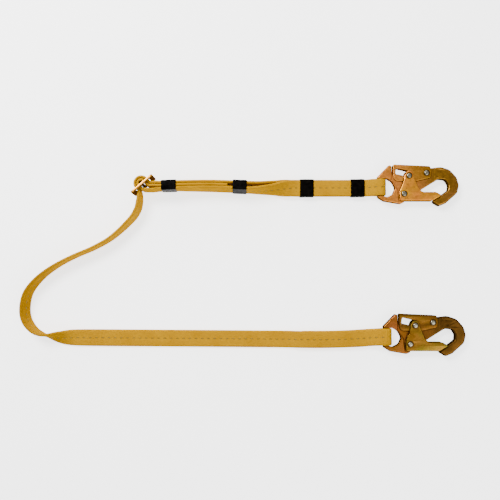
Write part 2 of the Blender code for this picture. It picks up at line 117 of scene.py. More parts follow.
BODY_OUTLINE = (
    (-4.8, 15.6, 2.5), (13.6, 34.4, 2.5), (17.0, 32.6, 1.5), (17.3, 23.0, 4), (22, 12.1, 4),
    (47.5, 12.1, 4), (60.5, 25.0, 4), (76, 29.3, 6), (92, 31.2, 12), (105.5, 26.8, 12),
    (116.0, 15.0, 12), (119.2, 3.0, 10), (116.4, -9.0, 10), (98.3, -25.0, 9),
    (88.0, -29.2, 4), (77.0, -22.4, 2.6), (83.5, -17.4, 3), (92.0, -11.8, 5),
    (101.8, -4.6, 5), (102.4, 3.2, 6), (98.0, 11.0, 6), (87.6, 11.9, 7), (60.0, -5.2, 1.8),
    (46.0, -11.0, 3), (41.0, -17.3, 5), (36.6, -17.6, 1.2), (35.6, -23.2, 1.5),
    (29.8, -25.8, 3), (4.7, -21.6, 5), (-4.8, -15.6, 2.5))
BOW_OUTLINE = (
    (79.4, 29.7, 0), (92, 31.2, 12), (105.5, 26.8, 12), (116.0, 15.0, 12), (119.2, 3.0, 10),
    (116.4, -9.0, 10), (98.3, -25.0, 9), (88.0, -29.2, 4), (77.0, -22.4, 2.6),
    (83.5, -17.4, 3), (92.0, -11.8, 5), (101.8, -4.6, 5), (102.4, 3.2, 6), (98.0, 11.0, 6),
    (87.6, 11.9, 7), (79.4, 6.9, 0))
EYE_OUTLINE = (
    (-4.8, 15.6, 2.5), (13.6, 34.4, 2.5), (17.0, 32.6, 1.5), (17.0, 11.0, 4), (26.0, -2.5, 5),
    (28.5, -25.6, 2.5), (4.7, -21.6, 5), (-4.8, -15.6, 2.5))
EYE_OPENING = ((-9, 13.2, 0), (9.0, 13.2, 1.5), (16.8, 9.0, 6), (22.4, -1.6, 7),
               (18.0, -11.0, 6), (9.4, -15.2, 2), (4.0, -13.3, 0.8), (-9, -13.2, 0))
LEVER_OUTLINE = (
    (19.0, 34.7, 2.2), (74.6, 32.1, 2.2), (77.6, 25.5, 4), (76.2, 14.2, 4), (54.0, 9.2, 8),
    (19.0, 9.0, 6.5))
LEVER_WINDOW = (
    (23.4, 29.0, 2.0), (22.4, 20.0, 2.2), (32.4, 18.0, 2.0), (44.4, 13.7, 2.6), (46.3, 19.1, 2.6),
    (39.6, 25.2, 2.0))
GATE_OUTLINE = (
    (39.0, 24.6, 5), (35.6, 16.6, 5), (33.6, 6.0, 6), (28.6, -4.5, 6), (28.0, -20.9, 2.5),
    (78.0, -20.9, 2.0), (90.4, -13.8, 1.2), (89.8, -11.6, 1.0), (82.6, -7.6, 4),
    (62.5, -7.9, 6), (56.2, -1.5, 7), (49.4, 15.5, 6), (47.2, 24.6, 5))

# route of the strand seen from above: x, y, height, lean of the width, outer ply distance
STRAND = (
    (-147.8, 94.7, 18.0, 90, 10.7), (-133.0, 95.4, 17.5, 90, 9.1), (-111.0, 96.3, 16.6, 88, 9.0),
    (-90.0, 96.4, 15.9, 85, 9.0), (-60.0, 96.3, 15.0, 82, 9.0), (-30.0, 95.4, 14.9, 81, 9.0),
    (-4.0, 94.3, 14.9, 80, 9.0), (15.0, 93.6, 14.2, 72, 7.8), (38.0, 93.7, 12.5, 53, 6.0),
    (57.0, 93.9, 9.0, 18, 4.9), (70.0, 94.1, 6.3, 2, 4.5), (78.0, 94.1, 5.8, 0, 4.5),
    (98.0, 94.1, 5.8, 0, 4.5), (154.0, 94.1, 5.8, 0, 4.5), (176.0, 94.4, 5.9, 0, 4.6))
# route of the leg from the lower hook: x, y, height, lean
LEG = (
    (196.0, -131.2, 14.5, 0), (187.0, -131.9, 10.8, 0), (176.0, -133.0, 7.3, 0),
    (164.0, -134.0, 6.9, 0), (115.0, -135.5, 6.9, 0), (77.0, -135.4, 6.8, 0),
    (59.0, -135.2, 3.8, 0), (44.0, -135.1, 2.4, 0), (-76.0, -134.1, 2.4, 0),
    (-230.0, -133.0, 2.6, 2), (-264.0, -132.4, 5.5, 14), (-288.0, -131.4, 10.5, 48),
    (-309.0, -128.0, 12.9, 86), (-323.4, -121.0, 12.9, 97), (-334.6, -106.3, 12.9, 103),
    (-337.8, -88.0, 12.9, 104), (-332.8, -64.2, 12.9, 102), (-315.6, -42.3, 12.9, 98),
    (-291.5, -24.3, 12.9, 94), (-263.8, -9.8, 12.9, 92), (-235.2, 2.6, 12.9, 92),
    (-207.9, 18.7, 12.9, 93), (-178.4, 46.4, 13.6, 98), (-169.4, 60.6, 15.0, 100),
    (-166.6, 72.0, 16.6, 99), (-165.8, 80.5, 17.5, 95), (-165.8, 86.0, 18.0, 91),
    (-166.75, 89.0, 18.0, 90))
TAIL = ((79.0, -135.4, 2.4, 0), (134.0, -135.0, 2.4, 0), (184.0, -132.2, 2.4, 0))

# setting
TABLE_SIZE = 30000.0
TABLE_DROP = 0.2                    # the table top lies this far under the lanyard
TABLE_GLOW = 2.4

scene = bpy.context.scene


# ---------------------------------------------------------------- camera and light

def aim(obj, target):
    ahead = Vector(target) - obj.location
    obj.rotation_euler = ahead.to_track_quat("-Z", "Y").to_euler()


def build_camera():
    camera = bpy.data.objects.new("camera", bpy.data.cameras.new("camera"))
    target = Vector(CAMERA_AIM) * MM
    tilt = math.radians(CAMERA_ELEVATION)
    camera.location = target + Vector((0, -math.cos(tilt), math.sin(tilt))) * CAMERA_DISTANCE * MM
    aim(camera, target)
    camera.data.lens = CAMERA_LENS
    camera.data.sensor_width = 36.0
    scene.collection.objects.link(camera)
    scene.camera = camera


def area_light(name, place, size, power, colour=(1, 1, 1)):
    data = bpy.data.lights.new(name, "AREA")
    data.shape = "DISK"
    data.size = size
    data.energy = power
    data.color = colour
    lamp = bpy.data.objects.new(name, data)
    lamp.location = place
    scene.collection.objects.link(lamp)
    aim(lamp, (0, 0, 0))


def build_light():
    area_light("key", (-0.75, 0.85, 1.35), 0.7, 58)
    area_light("fill", (0.9, -0.8, 1.3), 1.2, 17)
    area_light("rim", (0.2, 1.5, 0.55), 0.6, 12)
    world = bpy.data.worlds.new("studio")
    world.use_nodes = True
    back = world.node_tree.nodes["Background"]
    back.inputs["Color"].default_value = (1, 1, 1, 1)
    back.inputs["Strength"].default_value = 0.5
    scene.world = world


# ---------------------------------------------------------------- materials

def material(name, metallic, roughness):
    made = bpy.data.materials.new(name)
    made.use_nodes = True
    shader = made.node_tree.nodes["Principled BSDF"]
    shader.inputs["Metallic"].default_value = metallic
    shader.inputs["Roughness"].default_value = roughness
    return made, made.node_tree, shader


def wire(tree, kind, sockets, **settings):
    """Adds a node; each socket, by name or number, takes a value or another node's output."""
    made = tree.nodes.new(kind)
    for key, value in settings.items():
        setattr(made, key, value)
    for key, value in sockets.items():
        if isinstance(value, bpy.types.NodeSocket):
            tree.links.new(value, made.inputs[key])
        else:
            made.inputs[key].default_value = value
    return made.outputs[0]


def maths(tree, operation, first, second=0.0):
    return wire(tree, "ShaderNodeMath", {0: first, 1: second}, operation=operation)


def ramp(tree, factor, stops):
    made = tree.nodes.new("ShaderNodeValToRGB")
    tree.links.new(factor, made.inputs[0])
    band = made.color_ramp.elements
    while len(band) < len(stops):
        band.new(0.5)
    for element, (position, colour) in zip(band, stops):
        element.position = position
        element.color = (*colour, 1.0)
    return made.outputs[0]


def speckle(tree, scale, detail=3.0, vector=None):
    sockets = {"Scale": scale, "Detail": detail}
    sockets["Vector"] = vector or coordinates(tree)
    return wire(tree, "ShaderNodeTexNoise", sockets)


def coordinates(tree, output="Object"):
    return tree.nodes.new("ShaderNodeTexCoord").outputs[output]


def component(tree, vector, axis):
    """X, Y or Z of a vector, by number."""
    split = tree.nodes.new("ShaderNodeSeparateXYZ")
    tree.links.new(vector, split.inputs[0])
    return split.outputs[axis]


def faded(tree, value, low, high):
    """0 at low, 1 at high and a straight line between them."""
    return wire(tree, "ShaderNodeMapRange", {"Value": value, "From Min": low, "From Max": high})


def mixed(tree, factor, first, second, blend="MIX"):
    made = tree.nodes.new("ShaderNodeMix")
    made.data_type = "RGBA"
    made.blend_type = blend
    for socket, value in ((made.inputs[0], factor), (made.inputs[6], first), (made.inputs[7], second)):
        if isinstance(value, bpy.types.NodeSocket):
            tree.links.new(value, socket)
        else:
            socket.default_value = value if isinstance(value, float) else (*value, 1.0)
    return made.outputs[2]


def bumped(tree, shader, height, distance, strength=1.0):
    normal = wire(tree, "ShaderNodeBump",
                  {"Height": height, "Distance": distance * MM, "Strength": strength})
    tree.links.new(normal, shader.inputs["Normal"])


def webbing_material():
    """Golden polyester: warp ribs along the strap, staggered weft picks, fibre, and painted shade on
    the outer bend.
    """
    made, tree, shader = material("webbing weave", 0.0, 0.72)
    uv = wire(tree, "ShaderNodeUVMap", {}, uv_map="weave")
    rib = maths(tree, "DIVIDE", component(tree, uv, 0), RIB * MM)
    wale = maths(tree, "ABSOLUTE", maths(tree, "SINE", maths(tree, "MULTIPLY", rib, math.pi)))
    stagger = maths(tree, "MULTIPLY", maths(tree, "FLOOR", rib), 0.5)
    pick = maths(tree, "ADD", maths(tree, "DIVIDE", component(tree, uv, 1), PICK * MM), stagger)
    knuckle = maths(tree, "ABSOLUTE", maths(tree, "SINE", maths(tree, "MULTIPLY", pick, math.pi)))
    weave = maths(tree, "ADD", maths(tree, "MULTIPLY", wale, 0.3),
                  maths(tree, "MULTIPLY", knuckle, 0.7))
    fibre = speckle(tree, 2600.0, 2.0)
    height = maths(tree, "ADD", weave, maths(tree, "MULTIPLY", fibre, 0.25))
    yarn = ramp(tree, weave, ((0.12, (0.27, 0.130, 0.0)), (0.55, (0.42, 0.205, 0.0)),
                              (0.95, (0.48, 0.235, 0.0))))
    cloud = ramp(tree, speckle(tree, 42.0, 4.0), ((0.3, (0.86, 0.83, 0.78)), (0.7, (1, 1, 1))))
    # Painted shade: the outer bend of the leg, which stands on its edge, is darkened more towards low
    # world X.
    bend_shade_fade = faded(tree, component(tree, coordinates(tree), 0), *BEND_SHADE_SPAN)
    bend_shade = ramp(tree, bend_shade_fade, ((0.0, (0.60, 0.58, 0.55)), (1.0, (1, 1, 1))))
    yarn = mixed(tree, 1.0, yarn, bend_shade, "MULTIPLY")
    tree.links.new(mixed(tree, 1.0, yarn, cloud, "MULTIPLY"), shader.inputs["Base Color"])
    shader.inputs["Specular IOR Level"].default_value = 0.0
    bumped(tree, shader, height, 0.28)
    return made


def thread_material():
    """Twisted olive sewing thread."""
    made, tree, shader = material("stitch thread", 0.0, 0.65)
    twist = wire(tree, "ShaderNodeTexWave", {"Vector": coordinates(tree), "Scale": 420.0,
                                             "Distortion": 1.5}, bands_direction="DIAGONAL")
    tone = ramp(tree, twist, ((0.2, (0.060, 0.040, 0.001)), (0.8, (0.12, 0.078, 0.002))))
    tree.links.new(tone, shader.inputs["Base Color"])
    bumped(tree, shader, twist, 0.12)
    return made


def vinyl_material():
    """Black vinyl with soft ripples and a light scuffed haze."""
    made, tree, shader = material("black vinyl", 0.0, 0.3)
    haze = speckle(tree, 240.0, 5.0)
    tone = ramp(tree, haze, ((0.35, (0.0008, 0.0006, 0.0005)), (0.75, (0.0030, 0.0023, 0.0018))))
    tree.links.new(tone, shader.inputs["Base Color"])
    rough = ramp(tree, haze, ((0.3, (0.30, 0.30, 0.30)), (0.8, (0.55, 0.55, 0.55))))
    tree.links.new(rough, shader.inputs["Roughness"])
    bumped(tree, shader, speckle(tree, 150.0, 2.0), 0.6, 0.6)
    shader.inputs["Specular IOR Level"].default_value = 0.015
    return made


def painted_shade_mask(tree):
    """Mask of painted shade: 1 on the broad faces, 0 on the sheared or forged flanks and deep in
    crevices, where the plating is painted dark in place of their shade.
    """
    upright = maths(tree, "ABSOLUTE", component(tree, coordinates(tree, "Normal"), 2))
    crevice_shade = wire(tree, "ShaderNodeAmbientOcclusion", {"Color": (1, 1, 1, 1), "Distance": 7.0 * MM},
                  samples=6)
    return maths(tree, "MULTIPLY", faded(tree, upright, 0.68, 0.93), faded(tree, crevice_shade, 0.40, 0.92))


def plated_material(name, tints, seed, flank_shade=0.10):
    """Yellow zinc dichromate: slow iridescent drifts of tint over fine pitting. The tints
    are two at the eye end of a hook and two at its far end."""
    made, tree, shader = material(name, 1.0, 0.34)
    place = wire(tree, "ShaderNodeVectorMath", {0: coordinates(tree), 1: (seed, seed * 0.7, 0.0)},
                 operation="ADD")
    drift = speckle(tree, 34.0, 2.5, place)
    far = faded(tree, component(tree, coordinates(tree), 0), *HOOK_FADE)
    near_film = ramp(tree, drift, ((0.36, tints[0]), (0.64, tints[1])))
    far_film = ramp(tree, drift, ((0.36, tints[-2]), (0.64, tints[-1])))
    film = mixed(tree, far, near_film, far_film)
    grain = ramp(tree, speckle(tree, 900.0, 4.0), ((0.25, (0.72, 0.70, 0.68)), (0.6, (1, 1, 1))))
    film = mixed(tree, 1.0, film, grain, "MULTIPLY")
    # Painted shade: flanks and crevices get a dark, non-metallic colour through this mask.
    broad = painted_shade_mask(tree)
    shade = ramp(tree, broad, ((0.0, (flank_shade, flank_shade, flank_shade)), (1.0, (1, 1, 1))))
    tree.links.new(mixed(tree, 1.0, film, shade, "MULTIPLY"), shader.inputs["Base Color"])
    tree.links.new(broad, shader.inputs["Metallic"])
    shader.inputs["Specular IOR Level"].default_value = 0.0
    rough = ramp(tree, speckle(tree, 320.0, 4.0),
                 ((0.3, (0.26, 0.26, 0.26)), (0.75, (0.46, 0.46, 0.46))))
    tree.links.new(rough, shader.inputs["Roughness"])
    bumped(tree, shader, speckle(tree, 700.0, 3.0), 0.05)
    return made


def steel_material(name, tone, roughness):
    """Plain bright steel with small pits."""
    made, tree, shader = material(name, 1.0, roughness)
    pits = speckle(tree, 1200.0, 3.0)
    shade = ramp(tree, pits, ((0.3, tuple(0.7 * c for c in tone)), (0.65, tone)))
    tree.links.new(shade, shader.inputs["Base Color"])
    bumped(tree, shader, pits, 0.04)
    return made


def core_material():
    """Undyed yarn strap."""
    made, tree, shader = material("core yarn", 0.0, 0.85)
    yarn = wire(tree, "ShaderNodeTexWave", {"Vector": coordinates(tree), "Scale": 300.0})
    tree.links.new(ramp(tree, yarn, ((0.2, (0.50, 0.46, 0.36)), (0.8, (0.72, 0.68, 0.56)))),
                   shader.inputs["Base Color"])
    bumped(tree, shader, yarn, 0.1)
    return made


def floor_material():
    """Matt white table."""
    made, tree, shader = material("white table", 0.0, 0.6)
    tone = ramp(tree, speckle(tree, 6.0, 3.0), ((0.3, (0.86, 0.86, 0.855)), (0.7, (0.89, 0.89, 0.89))))
    tree.links.new(tone, shader.inputs["Base Color"])
    shader.inputs["Emission Color"].default_value = (1, 1, 1, 1)
    shader.inputs["Emission Strength"].default_value = TABLE_GLOW
    return made


# ---------------------------------------------------------------- shape helpers

def at_layout(x, y, z=0.0):
    return Vector((x - LAYOUT_CENTRE[0], y - LAYOUT_CENTRE[1], z)) * MM


def rounded(corners, turn=8.0):
    """Closed outline in millimetres from corners (x, y, radius)."""
    points = []
    count = len(corners)
    for i, (x, y, radius) in enumerate(corners):
        corner = Vector((x, y))
        back = Vector(corners[i - 1][:2]) - corner
        ahead = Vector(corners[(i + 1) % count][:2]) - corner
        angle = back.angle(ahead)
        if radius <= 0 or angle > math.radians(178):
            points.append(corner)
            continue
        reach = min(radius / math.tan(angle / 2), 0.48 * min(back.length, ahead.length))
        radius = reach * math.tan(angle / 2)
        middle = corner + (back.normalized() + ahead.normalized()).normalized() * (
            radius / math.sin(angle / 2))
        start = corner + back.normalized() * reach - middle
        sweep_angle = start.angle_signed(corner + ahead.normalized() * reach - middle)
        steps = max(1, round(abs(sweep_angle) / math.radians(turn)))
        for k in range(steps + 1):
            points.append(middle + Matrix.Rotation(-sweep_angle * k / steps, 2) @ start)
    return points


def ring(x, y, radius, steps=40):
    turn = 2 * math.pi / steps
    return [Vector((x + radius * math.cos(i * turn), y + radius * math.sin(i * turn)))
            for i in range(steps)]


def cleaned(mesh):
    bm = bmesh.new()
    bm.from_mesh(mesh)
    bmesh.ops.remove_doubles(bm, verts=bm.verts, dist=0.000005)
    bmesh.ops.recalc_face_normals(bm, faces=bm.faces)
    bm.to_mesh(mesh)
    bm.free()
    return mesh


def plate(name, outlines, half, bevel=0.0, rounds=0):
    """Flat piece between -half and +half from closed outlines, later ones are holes."""
    curve = bpy.data.curves.new(name, "CURVE")
    curve.dimensions = "2D"
    curve.fill_mode = "BOTH"
    curve.extrude = (half - bevel) * MM
    curve.bevel_depth = bevel * MM
    curve.bevel_resolution = rounds
    curve.offset = -bevel * MM
    for points in outlines:
        spline = curve.splines.new("POLY")
        spline.points.add(len(points) - 1)
        for knot, point in zip(spline.points, points):
            knot.co = (point[0] * MM, point[1] * MM, 0.0, 1.0)
        spline.use_cyclic_u = True
    holder = bpy.data.objects.new(name + " curve", curve)
    mesh = cleaned(bpy.data.meshes.new_from_object(holder))
    bpy.data.objects.remove(holder)
    return bpy.data.objects.new(name, mesh)


def turned(name, profile, steps=48):
    """Solid of revolution about Z from (radius, z) rows that start and end on the axis."""
    mesh = bpy.data.meshes.new(name)
    bm = bmesh.new()
    knots = [bm.verts.new((r * MM, 0.0, z * MM)) for r, z in profile]
    edges = [bm.edges.new(pair) for pair in zip(knots, knots[1:])]
    bmesh.ops.spin(bm, geom=knots + edges, cent=(0, 0, 0), axis=(0, 0, 1),
                   angle=2 * math.pi, steps=steps, use_merge=True)
    bm.to_mesh(mesh)
    bm.free()
    return bpy.data.objects.new(name, cleaned(mesh))


def cylinder(name, radius, half, steps=40):
    return turned(name, ((0, -half), (radius, -half), (radius, half), (0, half)), steps)


def combined(obj, changes):
    """Applies exact Booleans, given as (operation, object) pairs."""
    scene.collection.objects.link(obj)
    for operation, other in changes:
        scene.collection.objects.link(other)
        change = obj.modifiers.new(other.name, "BOOLEAN")
        change.operation = operation
        change.solver = "EXACT"
        change.object = other
    return settled(obj, [other for _, other in changes])


def settled(obj, spare=()):
    """Replaces the object's mesh by its evaluated one and removes the spare objects."""
    bpy.context.view_layer.update()
    evaluated = obj.evaluated_get(bpy.context.evaluated_depsgraph_get())
    mesh = bpy.data.meshes.new_from_object(evaluated)
    obj.modifiers.clear()
    obj.data = mesh
    scene.collection.objects.unlink(obj)
    for other in spare:
        bpy.data.objects.remove(other)
    return obj


def forged(obj, voxel, passes):
    """Blends sharp levels into each other the way a forging die does."""
    scene.collection.objects.link(obj)
    remesh = obj.modifiers.new("remesh", "REMESH")
    remesh.mode = "VOXEL"
    remesh.voxel_size = voxel * MM
    soften = obj.modifiers.new("soften", "SMOOTH")
    soften.factor = 0.5
    soften.iterations = passes
    return settled(obj)


def shown(obj, made, body, smooth_angle=None):
    """Links a piece, gives it its material and lets it ride on a body."""
    obj.data.materials.clear()
    obj.data.materials.append(made)
    scene.collection.objects.link(obj)
    if smooth_angle is None:
        obj.data.polygons.foreach_set("use_smooth", [True] * len(obj.data.polygons))
    else:
        obj.data.shade_smooth()
        obj.data.set_sharp_from_angle(angle=math.radians(smooth_angle))
    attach(obj, body)
    return obj


# ---------------------------------------------------------------- webbing route

TURN = math.radians(ADJUSTER_TURN)
ALONG = Vector((math.cos(TURN), math.sin(TURN), 0.0))
OUT = Vector((math.sin(TURN), -math.cos(TURN), 0.0))
UPRIGHT = Vector((0.0, 0.0, 1.0))


def smooth(rows, spacing=0.5):
    """Hermite curve through rows whose first three numbers are a position."""
    rows = [tuple(float(v) for v in row) for row in rows]
    run = [0.0]
    for a, b in zip(rows, rows[1:]):
        run.append(run[-1] + max(1e-6, math.dist(a[:3], b[:3])))
    last = len(rows) - 1
    slopes = []
    for i in range(len(rows)):
        lo, hi = max(0, i - 1), min(last, i + 1)
        slopes.append([(b - a) / (run[hi] - run[lo]) for a, b in zip(rows[lo], rows[hi])])
    out = []
    for i in range(last):
        span = run[i + 1] - run[i]
        steps = max(1, round(span / spacing))
        for k in range(steps):
            t = k / steps
            h = (2 * t**3 - 3 * t**2 + 1, t**3 - 2 * t**2 + t, -2 * t**3 + 3 * t**2, t**3 - t**2)
            out.append(tuple(h[0] * a + h[1] * span * m + h[2] * b + h[3] * span * n
                             for a, m, b, n in zip(rows[i], slopes[i], rows[i + 1], slopes[i + 1])))
    out.append(rows[-1])
    return out


def lay(rows, hand):
    """Samples (point, width direction); the width starts on the left (+1) or right (-1)."""
    line = smooth(rows)
    out = []
    for i, row in enumerate(line):
        a, b = line[max(0, i - 1)], line[min(len(line) - 1, i + 1)]
        ahead = Vector((b[0] - a[0], b[1] - a[1])).normalized()
        lean = math.radians(row[3])
        side = Vector((-ahead.y, ahead.x, 0.0)) * hand
        out.append((Vector(row[:3]), side * math.cos(lean) + Vector((0, 0, math.sin(lean)))))
    return out


def eye_loop(hook, first, last):
    """Half turn round the eye bar in the XZ plane between two angles in degrees."""
    middle = Vector((*hook, HOOK_HEIGHT))
    out = []
    for k in range(37):
        a = math.radians(first + (last - first) * k / 36)
        out.append((middle + Vector((math.cos(a), 0, math.sin(a))) * EYE_LOOP,
                    Vector((0, 1, 0))))
    return out


def bar_loop(radius):
    """Half turn round the centre bar, from the first slot to the second."""
    middle = Vector(ADJUSTER_AT) - OUT * LOOP_STAND
    out = [(Vector(ADJUSTER_AT) - ALONG * radius + OUT * 2.0, UPRIGHT)]
    for k in range(37):
        a = math.radians(k * 5)
        out.append((middle - ALONG * radius * math.cos(a) - OUT * radius * math.sin(a), UPRIGHT))
    return out + [(Vector(ADJUSTER_AT) + ALONG * radius + OUT * 2.0, UPRIGHT)]


def slot_bend(loop_side, radius):
    """Arc in plan from straight out of a slot round to +X."""
    start = Vector(ADJUSTER_AT) + ALONG * loop_side + OUT * 2.0
    left = Vector((-OUT.y, OUT.x, 0.0))
    middle = start + left * radius
    full = math.radians(90.0 - ADJUSTER_TURN)
    return [(middle + Matrix.Rotation(full * k / 12, 3, "Z") @ (-left * radius), UPRIGHT)
            for k in range(1, 13)]


def strand_rows(place_in_stack):
    """Rows of one ply; -0.5 is the first outer ply, 0 the middle one, 0.5 the other."""
    rows = []
    for x, y, z, lean, apart in STRAND:
        a = math.radians(lean)
        off = apart * place_in_stack
        rows.append((x, y - math.sin(a) * off, z + math.cos(a) * off, lean))
    return rows


def webbing_runs():
    """The one webbing from sewn tail to sewn tail: lower end, free leg and upper strand."""
    lower_x, lower_y = LOWER_HOOK
    upper_x, upper_y = UPPER_HOOK
    low, high = HOOK_HEIGHT - EYE_LOOP, HOOK_HEIGHT + EYE_LOOP
    tail = lay(TAIL + ((lower_x, lower_y, low, 0),), 1)
    leg = lay(((lower_x, lower_y, high, 0),) + LEG, -1)
    first = strand_rows(-0.5) + [(189, upper_y, 2.9, 0), (196, upper_y, low + 0.05, 0),
                                 (upper_x, upper_y, low, 0)]
    second = [(upper_x, upper_y, high, 0), (193, upper_y, 14.6, 0), (185, upper_y, 11.6, 0)]
    second += strand_rows(0.5)[::-1]
    middle = [(x, y + (0.9 if x < -140 else 0.0), z, lean)
              for x, y, z, lean in strand_rows(0.0) if x < -30]
    middle.append((-34.0, *strand_rows(0.0)[5][1:]))
    strand = (bar_loop(RUNNING_LOOP) + slot_bend(RUNNING_LOOP, 4.5) + lay(first, 1)
              + eye_loop(UPPER_HOOK, -90, 90) + lay(second, -1)
              + slot_bend(-FIXED_LOOP, 7.0)[::-1] + bar_loop(FIXED_LOOP)
              + slot_bend(FIXED_LOOP, 9.0) + lay(middle, 1))
    return tail + eye_loop(LOWER_HOOK, -90, 90), leg, strand


def framed(samples):
    """Stations (point, width, normal) with square frames, without doubled points."""
    line = [samples[0]]
    for point, width in samples[1:]:
        if (point - line[-1][0]).length > 0.15:
            line.append((point, width))
    out = []
    for i, (point, width) in enumerate(line):
        ahead = (line[min(len(line) - 1, i + 1)][0] - line[max(0, i - 1)][0]).normalized()
        width = (width - ahead * width.dot(ahead)).normalized()
        out.append((point, width, ahead.cross(width)))
    return out


def thinned(stations, turn, reach):
    kept = [stations[0]]
    for here, ahead in zip(stations[1:], stations[2:]):
        point, width, normal = kept[-1]
        if (ahead[1].angle(width) > turn or ahead[2].angle(normal) > turn
                or (here[0] - point).length > reach):
            kept.append(here)
    return kept + [stations[-1]]


def sweep(name, stations, sections, capped=True, start=0.0):
    """Skin through the stations. sections(i) gives the (across, through) rows of one ring.
    The weave layer holds (across, along) in metres; the back of the strap is shifted aside."""
    mesh = bpy.data.meshes.new(name)
    bm = bmesh.new()
    weave = bm.loops.layers.uv.new("weave")
    rings, run = [], [start * MM]
    for i, (point, width, normal) in enumerate(stations):
        if i:
            run.append(run[-1] + (point - stations[i - 1][0]).length * MM)
        rings.append([bm.verts.new(at_layout(*(point + width * a + normal * b)))
                      for a, b in sections(i)])
    count = len(rings[0])
    girth = [0.0]
    rows = sections(0)
    for k in range(count):
        girth.append(girth[-1] + math.dist(rows[k], rows[(k + 1) % count]) * MM)
    for i, (one, two) in enumerate(zip(rings, rings[1:])):
        for k in range(count):
            j = (k + 1) % count
            face = bm.faces.new((one[k], one[j], two[j], two[k]))
            for loop, uv in zip(face.loops, ((girth[k], run[i]), (girth[k + 1], run[i]),
                                             (girth[k + 1], run[i + 1]), (girth[k], run[i + 1]))):
                loop[weave].uv = uv
    if capped:
        bm.faces.new(rings[0])
        bm.faces.new(rings[-1])
    bmesh.ops.recalc_face_normals(bm, faces=bm.faces)
    bm.to_mesh(mesh)
    bm.free()
    return bpy.data.objects.new(name, mesh)


def web_section():
    """Flattened tube with full folded edges and a sewn groove down its middle."""
    rows = []
    for k in range(32):
        a = math.pi * k / 16
        across = WEB_HALF_WIDTH * math.cos(a)
        full = WEB_HALF_THICK * math.sqrt(max(0.0, 1 - abs(math.cos(a)) ** 14))
        groove = GROOVE_DEPTH * math.exp(-(across / GROOVE_WIDTH) ** 2)
        rows.append((across, math.copysign(full - groove, math.sin(a)) if k % 16 else 0.0))
    return rows


def stitch_line(name, stations, made, skip=0.0):
    """Dashes of sewing thread lying in the groove on both faces of a run of webbing."""
    mesh = bpy.data.meshes.new(name)
    bm = bmesh.new()
    run = [0.0]
    for a, b in zip(stations, stations[1:]):
        run.append(run[-1] + (b[0] - a[0]).length)
    surface = WEB_HALF_THICK - GROOVE_DEPTH

    def station_at(distance):
        i = next(k for k in range(1, len(run)) if run[k] >= distance or k == len(run) - 1)
        t = (distance - run[i - 1]) / max(1e-6, run[i] - run[i - 1])
        return [p.lerp(q, t) for p, q in zip(stations[i - 1], stations[i])]

    for number in range(int((run[-1] - 2 * skip) / STITCH_PITCH)):
        begin = skip + number * STITCH_PITCH
        for face in (1, -1):
            rings = []
            for k in range(7):
                t = k / 6
                swell = math.sqrt(max(0.04, 1 - (2 * t - 1) ** 4))
                point, width, normal = station_at(begin + STITCH_LENGTH * t)
                half, high = STITCH_WIDTH / 2 * swell, STITCH_HEIGHT * swell
                rings.append([bm.verts.new(at_layout(*(
                    point + width * half * math.cos(math.pi * j / 4)
                    + normal * face * (surface - 0.12 + high * math.sin(math.pi * j / 4)))))
                    for j in range(5)])
            for one, two in zip(rings, rings[1:]):
                for j in range(4):
                    bm.faces.new((one[j], one[j + 1], two[j + 1], two[j]))
                bm.faces.new((one[4], one[0], two[0], two[4]))
            bm.faces.new(rings[0])
            bm.faces.new(rings[-1])
    bmesh.ops.recalc_face_normals(bm, faces=bm.faces)
    bm.to_mesh(mesh)
    bm.free()
    return shown(bpy.data.objects.new(name, mesh), made, "webbing")


def build_webbing(weave, thread):
    section_rows = web_section()
    turn, reach = math.radians(4), 3.0
    lower_end, leg, strand = webbing_runs()
    joined = framed(lower_end + leg + strand)
    first = next(i for i, s in enumerate(joined) if (s[0] - leg[0][0]).length < 0.6)
    second = next(i for i, s in enumerate(joined) if (s[0] - strand[0][0]).length < 0.6)
    pieces = []
    start = 0.0
    for name, run in (("webbing_lower_end", joined[:first + 1]),
                      ("webbing_leg", joined[first:second + 1]),
                      ("webbing_strand", joined[second:])):
        stations = thinned(run, turn, reach)
        piece = sweep(name, stations, lambda i: section_rows, True, start)
        start += sum((b[0] - a[0]).length for a, b in zip(stations, stations[1:]))
        shown(piece, weave, "webbing")
        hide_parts("webbing_jacket")
        stitches = stitch_line(name + "_stitches", stations, thread, 4.0)
        pieces.append((piece, stations, stitches))
    leg_piece, stations, stitches = pieces[1]


# ---------------------------------------------------------------- keepers and adjuster

def soft_box(half_across, half_through, corner, steps=6):
    """Rounded rectangle as (across, through) rows."""
    rows = []
    for quarter, (sx, sy) in enumerate(((1, 1), (-1, 1), (-1, -1), (1, -1))):
        for k in range(steps + 1):
            a = math.radians(90 * (quarter + k / steps))
            rows.append((sx * (half_across - corner) + corner * math.cos(a),
                         sy * (half_through - corner) + corner * math.sin(a)))
        if quarter % 2 == 0:
            for k in range(1, 8):
                rows.append(((half_across - corner) * (1 - k / 4) * sx, sy * half_through))
    return rows


